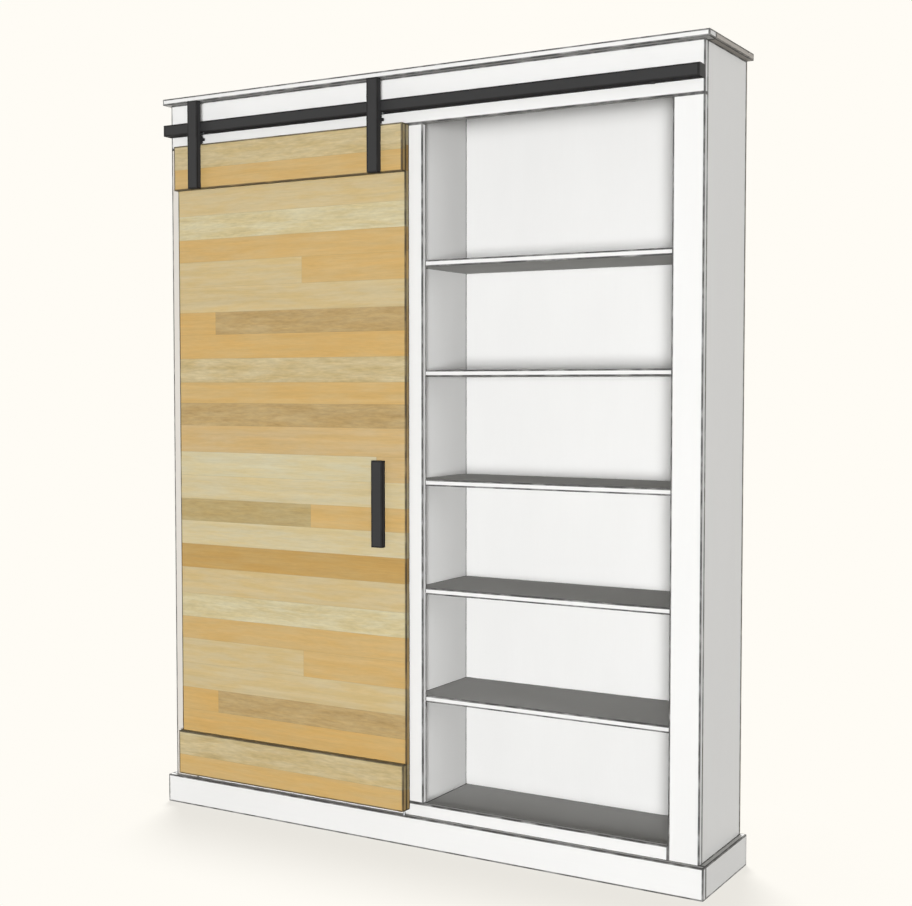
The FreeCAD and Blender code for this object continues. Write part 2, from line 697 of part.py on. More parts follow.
def trolleys():
    """Blocks with an axle and two wheels each, and the pendant bolts that carry the straps' lugs."""
    half_block = size.block_thickness / 2
    blocks = []
    axle = turned("axle", [(0, -axle_half), (size.axle_head_radius, -axle_half),
                           (size.axle_head_radius, size.axle_head - axle_half),
                           (size.axle_radius, size.axle_head - axle_half),
                           (size.axle_radius, axle_half - size.axle_head),
                           (size.axle_head_radius, axle_half - size.axle_head),
                           (size.axle_head_radius, axle_half), (0, axle_half)])
    bore = size.axle_radius + size.wheel_play
    rim = wheel_radius - size.wheel_chamfer
    wheel_width = wheel_outer - wheel_inner
    wheel = turned("wheel", [(bore, 0), (rim, 0), (wheel_radius, size.wheel_chamfer),
                             (wheel_radius, wheel_width - size.wheel_chamfer), (rim, wheel_width),
                             (bore, wheel_width)])
    for side, middle in STRAPS.items():
        label = f"{side}_trolley_block"
        low = (middle - block_half, track_centre - half_block, block_low)
        high = (middle + block_half, track_centre + half_block, axle_height + size.block_rise)
        keep(label, board(label, low, high))
        blocks.append(label)
        spots = [(middle, track_centre + start, axle_height) for start in (-wheel_outer, wheel_inner)]
        keep(f"{side}_trolley_wheels", copies(f"{side}_wheels", wheel, spots, TO_BACK))
    axle_hole = doc.addObject("Part::Cylinder", "axle_hole")
    bind(axle_hole, Radius=bore, Height=size.block_thickness + 2 * OVERRUN)
    centres = [(middle, track_centre, axle_height) for middle in STRAPS.values()]
    starts = [(x, y - half_block - OVERRUN, z) for x, y, z in centres]
    keep("trolley_axles", copies("trolley_axles", axle, centres, TO_BACK))
    drill(copies("axle_holes", axle_hole, starts, TO_BACK), blocks)

    bolt_length = bolt_top - bolt_low
    bolt = rod("pendant_bolt", size.bolt_radius, bolt_length)
    hole = doc.addObject("Part::Cylinder", "pendant_hole")
    bind(hole, Radius=size.bolt_radius + size.bolt_play, Height=bolt_length + size.bolt_play)
    feet = [(middle, track_centre, bolt_low) for middle in STRAPS.values()]
    fasten("pendant_bolts", bolt, hole, feet, ALONG_Z, [*blocks, "left_hanger", "right_hanger"])
    levels = (lug_low - size.nut_height, lug_top)
    spots = [(middle, track_centre, level) for middle in STRAPS.values() for level in levels]
    keep("pendant_nuts", copies("pendant_nuts", hex_nut("pendant_nut"), spots))


def finished():
    """Each sub-part with its cuts made, under its own label."""
    done = {}
    for label, piece in pieces.items():
        for tool in cuts[label]:
            piece = less(label, piece, tool)
        piece.Label = label
        done[label] = piece
    return done


def check(nodes):
    """Stop if any object failed, or if a sub-part has no valid solid."""
    for obj in doc.Objects:
        if {"Invalid", "Error"} & set(obj.State):
            raise RuntimeError(f"{obj.Label} failed: {obj.State}")
    for label, node in nodes.items():
        if node.Shape.isNull() or not node.Shape.isValid() or not node.Shape.Solids:
            raise RuntimeError(f"{label} has no valid solid")
        if label not in groups and len(node.Shape.Solids) != 1:
            raise RuntimeError(f"{label} is not one solid")


carcass()
face_frame()
top_and_base()
carcass_screws()
track()
track_stops()
guide()
door()
hangers()
trolleys()
groups = {label for label, piece in pieces.items() if piece.TypeId == "Part::Compound"}
nodes = finished()
doc.recompute()
check(nodes)

os.makedirs("parts", exist_ok=True)
for label, node in nodes.items():
    node.Shape.exportStep(f"parts/{label}.step")
print(f"{len(nodes)} sub-parts, door travel {door_travel.value:.1f}, wheel radius {wheel_radius.value:.2f}")
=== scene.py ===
import json
import math

import bpy
from mathutils import Color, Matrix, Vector


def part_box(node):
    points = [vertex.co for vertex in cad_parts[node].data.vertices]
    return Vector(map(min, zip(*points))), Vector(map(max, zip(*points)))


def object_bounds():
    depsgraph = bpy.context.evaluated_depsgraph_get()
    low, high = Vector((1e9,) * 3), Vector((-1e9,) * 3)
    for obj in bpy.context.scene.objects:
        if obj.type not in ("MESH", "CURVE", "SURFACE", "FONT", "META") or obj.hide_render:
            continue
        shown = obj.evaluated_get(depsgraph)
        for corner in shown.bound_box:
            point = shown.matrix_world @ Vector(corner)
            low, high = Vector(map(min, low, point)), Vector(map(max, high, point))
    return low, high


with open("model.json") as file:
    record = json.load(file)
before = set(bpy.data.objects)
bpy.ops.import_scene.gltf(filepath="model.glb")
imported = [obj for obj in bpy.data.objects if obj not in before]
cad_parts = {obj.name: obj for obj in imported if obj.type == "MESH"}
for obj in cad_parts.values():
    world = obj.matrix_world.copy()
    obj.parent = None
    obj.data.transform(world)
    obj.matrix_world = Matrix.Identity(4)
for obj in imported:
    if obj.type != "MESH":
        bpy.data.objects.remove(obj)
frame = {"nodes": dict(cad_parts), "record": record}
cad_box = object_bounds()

# Barn door cabinet: white painted boards, a door of edge-glued staves and dark steel hardware.
# Metres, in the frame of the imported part. Colours are written as a screen shows them, 0 to 255.

SCREEN_WHITE = 255

# Camera of the picture: where it stands, how far it is turned and tipped, and its lens
CAMERA_PLACE = (2.26855, -3.72657, 1.36463)
CAMERA_TURN = math.radians(30.4248)
CAMERA_TIP = math.radians(-2.6569)
CAMERA_LENS = 56.993
SENSOR_WIDTH = 36.0

# Studio: pale surroundings, and a floor with painted shade near the cabinet's base, over its real shadow
BACKGROUND = (255, 252, 245)
AMBIENT = 0.085
FLOOR_SIZE = 60.0
FLOOR_PALE = (232, 229, 222)
FLOOR_SHADE = 0.24
FLOOR_SHADE_REACH = 0.55

# Softboxes: each has a turn from the front and a rise in degrees, a distance and a size in metres, and a
# power in watts
LAMP_TARGET = (0.0, 0.0, 1.0)
LAMPS = {
    "front_softbox": {"turn": 27.0, "rise": 0.0, "distance": 22.0, "size": 3.6, "power": 1240.0},
    "near_softbox": {"turn": 28.0, "rise": 0.0, "distance": 7.0, "size": 1.3, "power": 357.0},
    "side_softbox": {"turn": 78.0, "rise": 8.0, "distance": 22.0, "size": 4.8, "power": 700.0},
    "left_softbox": {"turn": -62.0, "rise": 14.0, "distance": 22.0, "size": 6.0, "power": 330.0},
    "rear_softbox": {"turn": 212.0, "rise": 55.0, "distance": 22.0, "size": 8.0, "power": 5600.0},
}

# Ray depths of light that comes straight from a lamp and of light that has bounced, and what is left then
STRAIGHT_DEPTH = 1.0
BOUNCE_DEPTH = 2.0
BOUNCE_SHARE = 0.085

# A pattern of noise has a scale for X, Y and Z, in cells to a metre, and a detail with its own roughness.
# It varies about one middle. The roughness of a finish is written as a middle and a spread
NOISE_MIDDLE = 0.5
BUMP_STRENGTH = 0.5

# Painted shade along the edges of boards and bars, darkest where boards meet, in the look of a dark
# glaze: how far it is full and how far it reaches, how deep it is on paint, wood and steel, and where it
# is thinner in patches. An end square to X is found by its own step
EDGE_SHADE_FULL = 0.0032
EDGE_SHADE_REACH = 0.0056
PAINT_EDGE_SHADE = 0.94
WOOD_EDGE_SHADE = 0.86
STEEL_EDGE_SHADE = 0.75
EDGE_PATCHES = {"scales": (22.0, 22.0, 22.0), "detail": 3.0}
EDGE_SHADE_STEP = {"low": 0.25, "high": 0.60, "at_low": 0.70, "at_high": 1.0}
END_STEP = {"low": 0.0003, "high": 0.0008, "at_low": 1.0, "at_high": 0.0}

# White paint, brushed along each board. One board has primer only
PAINT = (247, 247, 246)
PRIMER = (232, 227, 220)
PRIMED = ("left_stile",)
PAINT_ROUGHNESS = (0.42, 0.20)
PAINT_STREAKS = 0.09
PAINT_RELIEF = 0.0003
BRUSH_CLOUD = {"scales": (2.0, 6.0, 6.0), "detail": 3.0}
BRUSH_HAIRS = {"scales": (7.0, 420.0, 420.0), "detail": 3.0, "roughness": 0.6}
BRUSH_PEEL = {"scales": (500.0, 700.0, 700.0), "detail": 1.0}
HAIR_SHARE = 0.35
PEEL_SHARE = 0.25

# Grain of wood along X, and how far it sways
GRAIN_MARKS = {
    "Streak": {"scales": (1.3, 70.0, 70.0), "detail": 4.0, "roughness": 0.62},
    "Fibre": {"scales": (16.0, 640.0, 640.0), "detail": 3.0, "roughness": 0.6},
    "Fleck": {"scales": (34.0, 200.0, 200.0), "detail": 3.0, "roughness": 0.6},
    "Blotch": {"scales": (7.0, 48.0, 48.0), "detail": 3.0, "roughness": 0.55},
}
GRAIN_SWAY = {"scales": (2.2, 14.0, 14.0), "detail": 1.0}
SWAY_WIDTH = 0.030
WOOD_RELIEF = 0.0002

# Door wood: the tones of the staves, how strongly a tone is flecked, and the tints of its blotches
TONES = {
    "cream": (209, 197, 159),
    "oat": (208, 193, 152),
    "ash": (207, 194, 153),
    "grey_ash": (197, 178, 133),
    "tan": (204, 183, 136),
    "straw": (203, 174, 122),
    "honey": (204, 171, 111),
    "amber": (205, 169, 105),
    "ginger": (188, 153, 90),
    "umber": (182, 155, 105),
    "olive": (180, 159, 110),
}
FLECKED = {"ash": 0.75, "grey_ash": 1.0, "umber": 1.0, "olive": 0.8}
PLAIN_FLECK = 0.25
WARM = (1.03, 0.985, 0.88, 1.0)
COOL = (0.975, 1.015, 1.12, 1.0)
TINT_STEP = {"low": 0.30, "high": 0.70}
DOOR_STREAKS = 0.32
DOOR_FIBRES = 0.26
DOOR_SPOTS = 1.25
FLECK_SHARE = 0.5
SPOT_RELIEF = 0.5
DOOR_ROUGHNESS = (0.47, 0.22)
END_PORES = {"scales": (60.0, 420.0, 520.0), "detail": 3.0, "roughness": 0.65}
END_SHADES = {"low": 0.30, "high": 0.70, "at_low": 0.70, "at_high": 0.98}

# One round of the panel's staves, from the top down: each stave's height and tone, and where a stave
# is jointed, the share of the door's width at which its second tone starts
PANEL_TOP = 1.905
PANEL_STAVES = (
    (0.0725, "ash"),
    (0.0715, "honey"),
    (0.0785, "tan", 0.566, "honey"),
    (0.0805, "tan"),
    (0.0730, "amber", 0.174, "umber"),
    (0.0760, "amber"),
    (0.0730, "grey_ash"),
    (0.0675, "honey"),
    (0.0695, "umber"),
    (0.0850, "straw"),
    (0.0780, "cream", 0.880, "straw"),
    (0.0750, "oat"),
    (0.0690, "olive", 0.600, "honey"),
    (0.0790, "oat"),
    (0.0730, "ginger"),
    (0.0880, "tan"),
)
TRIM_STAVES = ((0.075, "grey_ash"), (0.065, "honey"))
STAVE_SEEDS = 61.0
JOINT_SEED = 7.3
SAME_STAVE = 0.001
SEAM_HALF = 0.0004
SEAM_DEPTH = 0.22

# Limed oak of the top board, with wax in its pores
LIMED_OAK = (192, 186, 179)
LIMED_PORES = (218, 214, 208)
OAK_STREAKS = 0.40
OAK_FIBRES = 0.16
OAK_BLOTCHES = 0.20
OAK_ROUGHNESS = (0.56, 0.20)
OAK_SEED = 11.0
WAX_STEP = {"low": 0.52, "high": 0.70, "at_low": 0.0, "at_high": 0.35}

# Bare birch on the rear of the back panels: how far in from the rear it is full, and where it ends
BIRCH = (214, 190, 150)
BIRCH_STREAKS = 0.30
BIRCH_FIBRES = 0.15
BIRCH_FLECKS = 0.15
BIRCH_ROUGHER = 0.15
BIRCH_SEED = 3.0
BIRCH_FULL = 0.0025
BIRCH_END = 0.0030

# Beech of the dowels
BEECH = (212, 172, 128)
BEECH_STREAKS = 0.25
BEECH_FIBRES = 0.15
BEECH_FLECKS = 0.30
BEECH_ROUGHNESS = (0.55, 0.20)
BEECH_SEED = 5.0

# Dark coats of the steel hardware and of the track's caps and stops, both dull and a little cloudy
POWDER_COAT = {
    "colour": (49, 49, 50),
    "roughness": (0.58, 0.16),
    "skin": {"scales": (1500.0, 1500.0, 1500.0), "roughness": 0.55},
    "relief": 0.0001,
}
BLACK_PLASTIC = {
    "colour": (40, 40, 41),
    "roughness": (0.50, 0.16),
    "skin": {"scales": (2200.0, 2200.0, 2200.0), "roughness": 0.55},
    "relief": 0.00006,
}
COAT_CLOUD = {"scales": (14.0, 14.0, 14.0), "detail": 4.0, "roughness": 0.6}
COAT_CLOUDS = 0.30
COAT_GRIT = 0.16
DULL_SHINE = 0.25

# Nylon of the wheels
NYLON = (226, 224, 214)
NYLON_CLOUD = {"scales": (60.0, 60.0, 60.0), "detail": 3.0}
NYLON_CLOUDS = 0.12
NYLON_ROUGHNESS = (0.38, 0.20)
NYLON_SKIN = {"scales": (900.0, 900.0, 900.0)}
NYLON_RELIEF = 0.00005

# Zinc plate of the bright fasteners, the trolleys and the guide pin
ZINC = (196, 199, 203)
ZINC_BLOOM = {"scales": (120.0, 120.0, 120.0), "detail": 4.0, "roughness": 0.6}
ZINC_BLOOMS = 0.30
ZINC_ROUGHNESS = (0.355, 0.35)
ZINC_MARKS = {"scales": (1800.0, 1800.0, 400.0)}
ZINC_RELIEF = 0.00004

# Bars whose edges get painted shade, and the uprights of each bay that house its shelves
STEEL_BARS = ("track", "left_hanger", "right_hanger", "handle_bar")
HOUSED = {"left": ("left_side", "centre_partition"), "right": ("centre_partition", "right_side")}

Y_AXIS = 1
Z_AXIS = 2
FLOAT = "NodeSocketFloat"
VECTOR = "NodeSocketVector"


def light(colour):
    """A screen colour as linear light, with alpha."""
    shares = [value / SCREEN_WHITE for value in colour]
    return (*Color(shares).from_srgb_to_scene_linear(), 1.0)


class Bench:
    """Builds one node tree: adds nodes, and sets or links their inputs."""

    def __init__(self, tree):
        self.tree = tree

    def feed(self, socket, value):
        if isinstance(value, bpy.types.NodeSocket):
            self.tree.links.new(value, socket)
        else:
            socket.default_value = value

    def add(self, kind, inputs=None, **settings):
        node = self.tree.nodes.new(kind)
        for name, value in settings.items():
            setattr(node, name, value)
        for key, value in (inputs or {}).items():
            self.feed(node.inputs[key], value)
        return node

    def calc(self, operation, *values):
        return self.add("ShaderNodeMath", dict(enumerate(values)), operation=operation).outputs[0]

    def calc3(self, operation, *values):
        return self.add("ShaderNodeVectorMath", dict(enumerate(values)), operation=operation).outputs[0]

    def parts(self, vector):
        return self.add("ShaderNodeSeparateXYZ", {0: vector}).outputs[:]

    def join(self, x, y, z):
        return self.add("ShaderNodeCombineXYZ", {0: x, 1: y, 2: z}).outputs[0]

    def fade(self, value, low, high, at_low=0.0, at_high=1.0):
        """A soft step from at_low, where the value is low, to at_high."""
        inputs = {"Value": value, "From Min": low, "From Max": high, "To Min": at_low, "To Max": at_high}
        return self.add("ShaderNodeMapRange", inputs, interpolation_type="SMOOTHSTEP").outputs[0]

    def noise(self, place, scales, detail=2.0, roughness=0.5, seed=None):
        """Cloudy noise, stretched by a scale for each axis, and set apart by a seed."""
        inputs = {"Vector": self.calc3("MULTIPLY", place, scales), "Scale": 1.0}
        inputs.update({"Detail": detail, "Roughness": roughness})
        if seed is None:
            return self.add("ShaderNodeTexNoise", inputs).outputs["Fac"]
        return self.add("ShaderNodeTexNoise", {**inputs, "W": seed}, noise_dimensions="4D").outputs["Fac"]

    def about(self, value, middle, spread):
        """A number about a middle, moved by a noise times a spread."""
        return self.calc("MULTIPLY_ADD", value, spread, middle - spread * NOISE_MIDDLE)

    def vary(self, *moves):
        """A level about 1, moved by each noise times its weight."""
        level = 1.0 - sum(weight for _, weight in moves) * NOISE_MIDDLE
        for value, weight in moves:
            level = self.calc("MULTIPLY_ADD", value, weight, level)
        return level

    def blend(self, one, other, share):
        """A share of one value, with the rest from the other."""
        return self.calc("MULTIPLY_ADD", one, share, self.calc("MULTIPLY", other, 1.0 - share))

    def less(self, level, mask, depth):
        """A level, lowered by a share of itself where the mask is 1."""
        return self.calc("MULTIPLY", level, self.calc("MULTIPLY_ADD", mask, -depth, 1.0))

    def mix(self, share, one, other, blend="MIX"):
        node = self.add("ShaderNodeMix", data_type="RGBA", blend_type=blend)
        given = {socket.identifier: socket for socket in node.inputs}
        for key, value in (("Factor_Float", share), ("A_Color", one), ("B_Color", other)):
            self.feed(given[key], value)
        return next(socket for socket in node.outputs if socket.identifier == "Result_Color")

    def mix_shaders(self, share, one, other):
        return self.add("ShaderNodeMixShader", {0: share, 1: one, 2: other}).outputs[0]

    def dim(self, colour, level):
        """A colour with each channel times a level."""
        return self.mix(1.0, colour, self.join(level, level, level), "MULTIPLY")

    def ramp(self, value, stops):
        """A ramp of steps. Each stop is its start and its colour, whose alpha is free for a number."""
        node = self.add("ShaderNodeValToRGB", {"Fac": value})
        steps = node.color_ramp
        steps.interpolation = "CONSTANT"
        for _ in range(len(stops) - len(steps.elements)):
            steps.elements.new(1.0)
        for element, (start, colour) in zip(steps.elements, stops):
            element.position = start
            element.color = colour
        return node.outputs

    def bump(self, height, depth):
        inputs = {"Height": height, "Distance": depth, "Strength": BUMP_STRENGTH}
        return self.add("ShaderNodeBump", inputs).outputs[0]


def node_group(name, inputs, outputs):
    """A new group of nodes: its bench, what it is given and what it makes."""
    tree = bpy.data.node_groups.new(name, "ShaderNodeTree")
    for socket, kind in inputs.items():
        tree.interface.new_socket(socket, in_out="INPUT", socket_type=kind)
    for socket, kind in outputs.items():
        tree.interface.new_socket(socket, in_out="OUTPUT", socket_type=kind)
    bench = Bench(tree)
    return bench, bench.add("NodeGroupInput").outputs, bench.add("NodeGroupOutput").inputs


def edge_shade_group():
    """How near a point of a board is to its edges, as a patchy mask of painted edge shade, and whether it
    is on an end square to X.
    """
    inputs = {"Place": VECTOR, "Low": VECTOR, "High": VECTOR, "Full": FLOAT, "Reach": FLOAT}
    bench, given, made = node_group("arris", inputs, {"Edge": FLOAT, "End": FLOAT})
    from_low = bench.calc3("SUBTRACT", given["Place"], given["Low"])
    from_high = bench.calc3("SUBTRACT", given["High"], given["Place"])
    x, y, z = bench.parts(bench.calc3("MINIMUM", from_low, from_high))
    # On a face the least of these three is 0, and the middle one is how far away the nearest edge is
    least = bench.calc("MINIMUM", x, y)
    rest = bench.calc("MINIMUM", bench.calc("MAXIMUM", x, y), z)
    middle = bench.calc("MAXIMUM", least, rest)
    # Painted shade along the edges, which also darkens the joints between boards, thinner in patches
    edge_shade = bench.fade(middle, given["Full"], given["Reach"], 1.0, 0.0)
    patchy_shade = bench.fade(bench.noise(given["Place"], **EDGE_PATCHES), **EDGE_SHADE_STEP)
    bench.feed(made["Edge"], bench.calc("MULTIPLY", edge_shade, patchy_shade))
    bench.feed(made["End"], bench.fade(x, **END_STEP))
    return bench.tree


def brush_group():
    """Brush marks of paint laid off along X: a tone and a height."""
    bench, given, made = node_group("brush_marks", {"Place": VECTOR}, {"Tone": FLOAT, "Height": FLOAT})
    cloud = bench.noise(given["Place"], **BRUSH_CLOUD)
    hairs = bench.noise(given["Place"], **BRUSH_HAIRS)
    peel = bench.noise(given["Place"], **BRUSH_PEEL)
    bench.feed(made["Tone"], bench.blend(hairs, cloud, HAIR_SHARE))
    bench.feed(made["Height"], bench.blend(peel, hairs, PEEL_SHARE))
    return bench.tree


def grain_group():
    """Grain of wood along X: long streaks, fine fibres, short flecks and broad blotches."""
    inputs = {"Place": VECTOR, "Seed": FLOAT}
    bench, given, made = node_group("wood_grain", inputs, dict.fromkeys(GRAIN_MARKS, FLOAT))
    sway = bench.noise(given["Place"], **GRAIN_SWAY, seed=given["Seed"])
    drift = bench.about(sway, 0.0, SWAY_WIDTH)
    place = bench.calc3("ADD", given["Place"], bench.join(0.0, drift, drift))
    for mark, pattern in GRAIN_MARKS.items():
        bench.feed(made[mark], bench.noise(place, **pattern, seed=given["Seed"]))
    return bench.tree


EDGE_SHADE_NODES = edge_shade_group()
BRUSH = brush_group()
GRAIN = grain_group()


def seen_box(node):
    """A board's box, less the ends of a shelf that are hidden in the uprights, so that a shelf's painted
    edge shade lies along its joints with them.
    """
    low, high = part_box(node)
    if "shelf" in node:
        west, east = HOUSED[node.split("_")[0]]
        low.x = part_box(west)[1].x
        high.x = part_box(east)[0].x
    return low, high


def new_finish(name):
    """A new material, its bench, its shader and the place of a point on the piece."""
    material = bpy.data.materials.new(name)
    material.use_nodes = True
    bench = Bench(material.node_tree)
    place = bench.add("ShaderNodeTexCoord").outputs["Object"]
    return material, bench, material.node_tree.nodes["Principled BSDF"], place


def coat(bench, shader, **inputs):
    """Feed the shader's inputs, named with underscores for spaces."""
    for name, value in inputs.items():
        bench.feed(shader.inputs[name.replace("_", " ")], value)


def along(bench, place, axis):
    """The place turned so that its X runs along an axis of the board."""
    parts = bench.parts(place)
    return bench.join(*(parts[(axis + step) % 3] for step in range(3)))


def longest_axis(node):
    low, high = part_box(node)
    spans = list(high - low)
    return spans.index(max(spans))


def edge_shade_and_ends(bench, place, node):
    """The mask of painted shade along a board's edges, and the mask of its ends."""
    low, high = seen_box(node)
    inputs = {"Place": place, "Low": low, "High": high, "Full": EDGE_SHADE_FULL, "Reach": EDGE_SHADE_REACH}
    return bench.add("ShaderNodeGroup", inputs, node_tree=EDGE_SHADE_NODES).outputs[:]


def grain_of(bench, place, seed):
    """The streaks, fibres, flecks and blotches of wood whose grain runs along the place's X."""
    return bench.add("ShaderNodeGroup", {"Place": place, "Seed": seed}, node_tree=GRAIN).outputs[:]


def painted(bench, place, node, edge_shade):
    """Colour, roughness and height of white paint on a board, with painted shade along its edges."""
    strokes = along(bench, place, longest_axis(node))
    tone, height = bench.add("ShaderNodeGroup", {"Place": strokes}, node_tree=BRUSH).outputs[:]
    level = bench.less(bench.vary((tone, PAINT_STREAKS)), edge_shade, PAINT_EDGE_SHADE)
    base = light(PRIMER if node in PRIMED else PAINT)
    return bench.dim(base, level), bench.about(tone, *PAINT_ROUGHNESS), height


def white_paint(node):
    material, bench, shader, place = new_finish("white_paint_" + node)
    edge_shade, _ = edge_shade_and_ends(bench, place, node)
    colour, roughness, height = painted(bench, place, node, edge_shade)
    coat(
        bench, shader,
        Base_Color=colour,
        Roughness=roughness,
        Normal=bench.bump(height, PAINT_RELIEF),
    )
    return material


def back_panel_finish(node):
    """White paint inside, and bare birch on the side that stands against the wall."""
    material, bench, shader, place = new_finish("back_panel_" + node)
    edge_shade, _ = edge_shade_and_ends(bench, place, node)
    colour, roughness, height = painted(bench, place, node, edge_shade)
    streak, fibre, fleck, _ = grain_of(bench, along(bench, place, Z_AXIS), BIRCH_SEED)
    level = bench.vary((streak, BIRCH_STREAKS), (fibre, BIRCH_FIBRES), (fleck, BIRCH_FLECKS))
    # The bare birch gets painted shade along its edges too
    birch = bench.dim(light(BIRCH), bench.less(level, edge_shade, WOOD_EDGE_SHADE))
    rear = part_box(node)[1].y
    behind = bench.fade(bench.parts(place)[Y_AXIS], rear - BIRCH_END, rear - BIRCH_FULL)
    relief = bench.calc("MULTIPLY_ADD", fibre, behind, height)
    coat(
        bench, shader,
        Base_Color=bench.mix(behind, colour, birch),
        Roughness=bench.calc("MULTIPLY_ADD", behind, BIRCH_ROUGHER, roughness),
        Normal=bench.bump(relief, PAINT_RELIEF),
    )
    return material


def stave_starts(staves):
    """The height of all the staves, and where each starts as a share of it, with the stave."""
    total = sum(stave[0] for stave in staves)
    starts = [sum(stave[0] for stave in staves[:number]) / total for number in range(len(staves))]
    return total, list(zip(starts, staves))


def tone_of(name):
    """A tone's colour, with its fleck in the place of alpha."""
    return light(TONES[name])[:3] + (FLECKED.get(name, PLAIN_FLECK),)


def down_staves(bench, height, top, total):
    """How far below the top a height is, as a share of the round of staves that it is in."""
    return bench.calc("FRACT", bench.calc("MULTIPLY_ADD", height, -1.0 / total, top / total))


def stave_marks(bench, depth, stops):
    """Where each stave is jointed, as a share of the width, and a number that sets it apart."""
    marks = []
    for number, (start, stave) in enumerate(stops):
        share = stave[2] if len(stave) > 2 else 1.0
        marks.append((start, (share, share, share, (number + 0.5) / len(stops))))
    return bench.ramp(depth, marks)


def stave_pattern(bench, place, node, top, staves):
    """Tone, fleck and seed of the staves that run across the door, and the lines between them."""
    low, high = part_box(node)
    width = high.x - low.x
    x, _, z = bench.parts(place)
    across = bench.calc("MULTIPLY_ADD", x, 1.0 / width, -low.x / width)
    total, stops = stave_starts(staves)
    depth = down_staves(bench, z, top, total)
    joint, mark = stave_marks(bench, depth, stops)
    second = bench.calc("GREATER_THAN", across, joint)
    first_tone, first_fleck = bench.ramp(depth, [(start, tone_of(stave[1])) for start, stave in stops])
    second_tone, second_fleck = bench.ramp(depth, [(start, tone_of(stave[-1])) for start, stave in stops])
    tone = bench.mix(second, first_tone, second_tone)
    flecked = bench.fade(second, 0.0, 1.0, first_fleck, second_fleck)
    seed = bench.calc("MULTIPLY_ADD", second, JOINT_SEED, bench.calc("MULTIPLY", mark, STAVE_SEEDS))

    _, above = stave_marks(bench, down_staves(bench, z, top + SEAM_HALF, total), stops)
    _, below = stave_marks(bench, down_staves(bench, z, top - SEAM_HALF, total), stops)
    glue = bench.calc("SUBTRACT", 1.0, bench.calc("COMPARE", above, below, SAME_STAVE))
    butt = bench.calc("COMPARE", across, joint, SEAM_HALF / width)
    return tone, flecked, seed, bench.calc("MAXIMUM", glue, butt)


def door_wood(node, top, staves):
    """Edge-glued staves under a matt lacquer, with open grain on the ends."""
    material, bench, shader, place = new_finish("door_wood_" + node)
    tone, flecked, seed, seam = stave_pattern(bench, place, node, top, staves)
    streak, fibre, fleck, blotch = grain_of(bench, place, seed)
    edge_shade, end = edge_shade_and_ends(bench, place, node)
    mottle = bench.calc("SUBTRACT", bench.blend(fleck, blotch, FLECK_SHARE), NOISE_MIDDLE)
    spots = bench.calc("MULTIPLY_ADD", mottle, flecked, NOISE_MIDDLE)
    level = bench.vary((streak, DOOR_STREAKS), (fibre, DOOR_FIBRES), (spots, DOOR_SPOTS))
    # Painted shade along the door's edges, and darker glue seams between the staves
    level = bench.less(bench.less(level, edge_shade, WOOD_EDGE_SHADE), seam, SEAM_DEPTH)
    end_level = bench.fade(bench.noise(place, **END_PORES), **END_SHADES)
    level = bench.calc("MULTIPLY", level, bench.fade(end, 0.0, 1.0, 1.0, end_level))
    tint = bench.mix(bench.fade(blotch, **TINT_STEP), WARM, COOL)
    relief = bench.calc("SUBTRACT", bench.calc("MULTIPLY_ADD", spots, SPOT_RELIEF, fibre), seam)
    coat(
        bench, shader,
        Base_Color=bench.dim(bench.mix(1.0, tone, tint, "MULTIPLY"), level),
        Roughness=bench.about(fibre, *DOOR_ROUGHNESS),
        Normal=bench.bump(relief, WOOD_RELIEF),
    )
    return material


def limed_oak(node):
    """Pale greyed oak whose open pores hold white wax, with streaks along its ends too."""
    material, bench, shader, place = new_finish("limed_oak")
    edge_shade, end = edge_shade_and_ends(bench, place, node)
    turn = bench.calc3("SUBTRACT", along(bench, place, Y_AXIS), place)
    lie = bench.calc3("MULTIPLY_ADD", turn, end, place)
    streak, fibre, fleck, blotch = grain_of(bench, lie, OAK_SEED)
    level = bench.vary((streak, OAK_STREAKS), (fibre, OAK_FIBRES), (blotch, OAK_BLOTCHES))
    # Painted shade along the board's edges
    oak = bench.dim(light(LIMED_OAK), bench.less(level, edge_shade, WOOD_EDGE_SHADE))
    wax = bench.fade(fleck, **WAX_STEP)
    coat(
        bench, shader,
        Base_Color=bench.mix(wax, oak, light(LIMED_PORES)),
        Roughness=bench.about(fibre, *OAK_ROUGHNESS),
        Normal=bench.bump(bench.calc("SUBTRACT", fibre, wax), WOOD_RELIEF),
    )
    return material


def beech():
    material, bench, shader, place = new_finish("beech")
    streak, fibre, fleck, _ = grain_of(bench, along(bench, place, Z_AXIS), BEECH_SEED)
    level = bench.vary((streak, BEECH_STREAKS), (fibre, BEECH_FIBRES), (fleck, BEECH_FLECKS))
    coat(
        bench, shader,
        Base_Color=bench.dim(light(BEECH), level),
        Roughness=bench.about(fibre, *BEECH_ROUGHNESS),
    )
    return material


def dark_coat(name, colour, roughness, skin, relief, bar=None):
    """A dull dark coat with the skin of powder paint or moulded plastic, with painted shade that makes a
    bar's edges blacker.
    """
    material, bench, shader, place = new_finish(name)
    grit = bench.noise(place, **skin)
    cloud = bench.noise(place, **COAT_CLOUD)
    level = bench.vary((cloud, COAT_CLOUDS), (grit, COAT_GRIT))
    # Painted shade along a bar's edges
    if bar:
        edge_shade, _ = edge_shade_and_ends(bench, place, bar)
        level = bench.less(level, edge_shade, STEEL_EDGE_SHADE)
    coat(
        bench, shader,
        Base_Color=bench.dim(light(colour), level),
        Roughness=bench.about(cloud, *roughness),
        Normal=bench.bump(grit, relief),
        Specular_IOR_Level=DULL_SHINE,
    )
    return material


def powder_coat(bar=None):
    """The dark coat of one steel bar, or of all the dark fasteners."""
    return dark_coat("powder_coat_" + (bar or "fasteners"), **POWDER_COAT, bar=bar)


